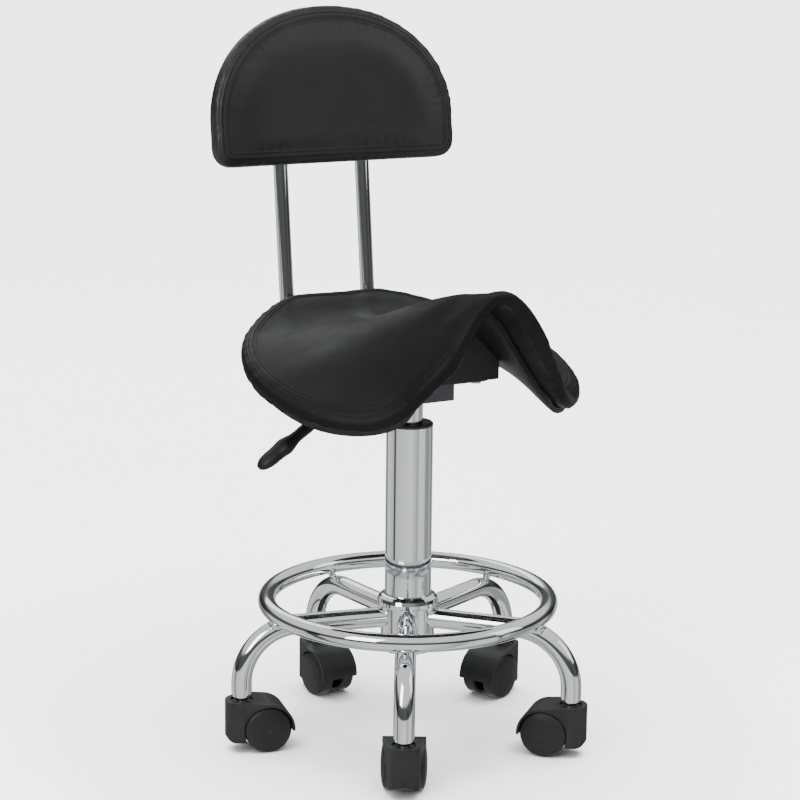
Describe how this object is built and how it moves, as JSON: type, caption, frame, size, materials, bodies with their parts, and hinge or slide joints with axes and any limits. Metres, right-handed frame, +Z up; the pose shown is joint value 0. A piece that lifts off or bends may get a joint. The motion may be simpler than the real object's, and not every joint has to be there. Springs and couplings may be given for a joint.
{
  "type": "dentist stool",
  "caption": "Height-adjustable dentist stool with a saddle seat, D-shaped backrest on two rods, foot ring and a five-leg tube base on twin-wheel casters.",
  "frame": {"origin": "on the floor, where the axis of the lift column meets it", "axes": "+Z up along the lift column; the sitter faces -Y; +X is the sitter's left"},
  "size_m": [0.3845, 0.4207, 0.7768],
  "materials": {
    "chrome_tube": "mirror polished",
    "steel": "zinc plated",
    "pressed_steel": "black powder coat",
    "screws": "zinc plated",
    "cylinder": "bright chromed",
    "bush_plastic": "matte",
    "rubber": "matte",
    "seat_leatherette": "fine grain satin",
    "back_leatherette": "fine grain satin",
    "shell_plastic": "fine matte",
    "plywood": "raw",
    "stained_block": "black stained",
    "lever_plastic": "fine matte",
    "caster_plastic": "fine matte",
    "caster_pin": "bright",
    "wheel_plastic": "satin"
  },
  "bodies": {
    "base": {"hub": "chrome_tube", "hub_cap": "chrome_tube", "column_tube": "chrome_tube", "column_end_plate": "steel", "guide_bush": "bush_plastic", "leg_1": "chrome_tube", "leg_2": "chrome_tube", "leg_3": "chrome_tube", "leg_4": "chrome_tube", "leg_5": "chrome_tube", "foot_ring": "chrome_tube", "ring_studs": "chrome_tube", "stem_sockets": "chrome_tube"},
    "lift_rod": {"piston_rod": "cylinder", "piston": "cylinder", "rod_clip": "screws", "thrust_bearing": "screws", "bump_cushion": "rubber"},
    "seat": {"gas_cylinder": "cylinder", "rod_seal": "bush_plastic", "mechanism_plate": "pressed_steel", "mechanism_screws": "screws", "mechanism_housing": "pressed_steel", "mechanism_socket": "pressed_steel", "lever_pivot": "steel", "seat_shell": "shell_plastic", "seat_cushion": "seat_leatherette", "mounting_block": "stained_block", "backrest_bridge": "pressed_steel", "bridge_screws": "screws", "backrest_rod_left": "chrome_tube", "backrest_rod_right": "chrome_tube", "rod_end_caps": "bush_plastic", "backrest_board": "plywood", "backrest_cushion": "back_leatherette", "backrest_rear_pad": "back_leatherette", "backrest_screws": "screws"},
    "lever": {"lever_rod": "steel", "lever_handle": "lever_plastic"},
    "valve_button": {"valve_button": "bush_plastic"},
    "swivel_1": {"caster_housing_1": "caster_plastic", "caster_pins_1": "caster_pin"},
    "wheel_1a": {"wheel_1a": "wheel_plastic"},
    "wheel_1b": {"wheel_1b": "wheel_plastic"},
    "swivel_2": {"caster_housing_2": "caster_plastic", "caster_pins_2": "caster_pin"},
    "wheel_2a": {"wheel_2a": "wheel_plastic"},
    "wheel_2b": {"wheel_2b": "wheel_plastic"},
    "swivel_3": {"caster_housing_3": "caster_plastic", "caster_pins_3": "caster_pin"},
    "wheel_3a": {"wheel_3a": "wheel_plastic"},
    "wheel_3b": {"wheel_3b": "wheel_plastic"},
    "swivel_4": {"caster_housing_4": "caster_plastic", "caster_pins_4": "caster_pin"},
    "wheel_4a": {"wheel_4a": "wheel_plastic"},
    "wheel_4b": {"wheel_4b": "wheel_plastic"},
    "swivel_5": {"caster_housing_5": "caster_plastic", "caster_pins_5": "caster_pin"},
    "wheel_5a": {"wheel_5a": "wheel_plastic"},
    "wheel_5b": {"wheel_5b": "wheel_plastic"}
  },
  "joints": [
    {"name": "seat_swivel", "type": "hinge", "parent": "base", "child": "lift_rod", "pos_m": [0, 0, 0.11], "axis": [0, 0, 1], "continuous": true},
    {"name": "seat_height", "type": "slide", "parent": "lift_rod", "child": "seat", "axis": [0, 0, 1], "range_m": [0, 0.13]},
    {"name": "lever_lift", "type": "hinge", "parent": "seat", "child": "lever", "pos_m": [-0.024, 0, 0.3948], "axis": [0, 1, 0], "range_deg": [0, 6], "stiffness_Nm_per_rad": 0.6},
    {"name": "valve_press", "type": "slide", "parent": "seat", "child": "valve_button", "axis": [0, 0, -1], "range_m": [0, 0.0028]},
    {"name": "caster_swivel_1", "type": "hinge", "parent": "base", "child": "swivel_1", "pos_m": [-0.09394, -0.15821, 0.056], "axis": [0, 0, 1], "continuous": true},
    {"name": "wheel_spin_1a", "type": "hinge", "parent": "swivel_1", "child": "wheel_1a", "pos_m": [-0.08118, -0.13672, 0.025], "axis": [0.8599, -0.5105, 0], "continuous": true},
    {"name": "wheel_spin_1b", "type": "hinge", "parent": "swivel_1", "child": "wheel_1b", "pos_m": [-0.08118, -0.13672, 0.025], "axis": [0.8599, -0.5105, 0], "continuous": true},
    {"name": "caster_swivel_2", "type": "hinge", "parent": "base", "child": "swivel_2", "pos_m": [0.12144, -0.13823, 0.056], "axis": [0, 0, 1], "continuous": true},
    {"name": "wheel_spin_2a", "type": "hinge", "parent": "swivel_2", "child": "wheel_2a", "pos_m": [0.10494, -0.11945, 0.025], "axis": [0.7513, 0.66, 0], "continuous": true},
    {"name": "wheel_spin_2b", "type": "hinge", "parent": "swivel_2", "child": "wheel_2b", "pos_m": [0.10494, -0.11945, 0.025], "axis": [0.7513, 0.66, 0], "continuous": true},
    {"name": "caster_swivel_3", "type": "hinge", "parent": "base", "child": "swivel_3", "pos_m": [0.16899, 0.07278, 0.056], "axis": [0, 0, 1], "continuous": true},
    {"name": "wheel_spin_3a", "type": "hinge", "parent": "swivel_3", "child": "wheel_3a", "pos_m": [0.14603, 0.06289, 0.025], "axis": [-0.3955, 0.9184, 0], "continuous": true},
    {"name": "wheel_spin_3b", "type": "hinge", "parent": "swivel_3", "child": "wheel_3b", "pos_m": [0.14603, 0.06289, 0.025], "axis": [-0.3955, 0.9184, 0], "continuous": true},
    {"name": "caster_swivel_4", "type": "hinge", "parent": "base", "child": "swivel_4", "pos_m": [-0.017, 0.18321, 0.056], "axis": [0, 0, 1], "continuous": true},
    {"name": "wheel_spin_4a", "type": "hinge", "parent": "swivel_4", "child": "wheel_4a", "pos_m": [-0.01469, 0.15832, 0.025], "axis": [-0.9957, -0.0924, 0], "continuous": true},
    {"name": "wheel_spin_4b", "type": "hinge", "parent": "swivel_4", "child": "wheel_4b", "pos_m": [-0.01469, 0.15832, 0.025], "axis": [-0.9957, -0.0924, 0], "continuous": true},
    {"name": "caster_swivel_5", "type": "hinge", "parent": "base", "child": "swivel_5", "pos_m": [-0.1795, 0.04045, 0.056], "axis": [0, 0, 1], "continuous": true},
    {"name": "wheel_spin_5a", "type": "hinge", "parent": "swivel_5", "child": "wheel_5a", "pos_m": [-0.15511, 0.03496, 0.025], "axis": [-0.2198, -0.9755, 0], "continuous": true},
    {"name": "wheel_spin_5b", "type": "hinge", "parent": "swivel_5", "child": "wheel_5b", "pos_m": [-0.15511, 0.03496, 0.025], "axis": [-0.2198, -0.9755, 0], "continuous": true}
  ],
  "couplings": [
    {"joint": "valve_press", "follows": "lever_lift", "m_per_rad": 0.0255}
  ]
}
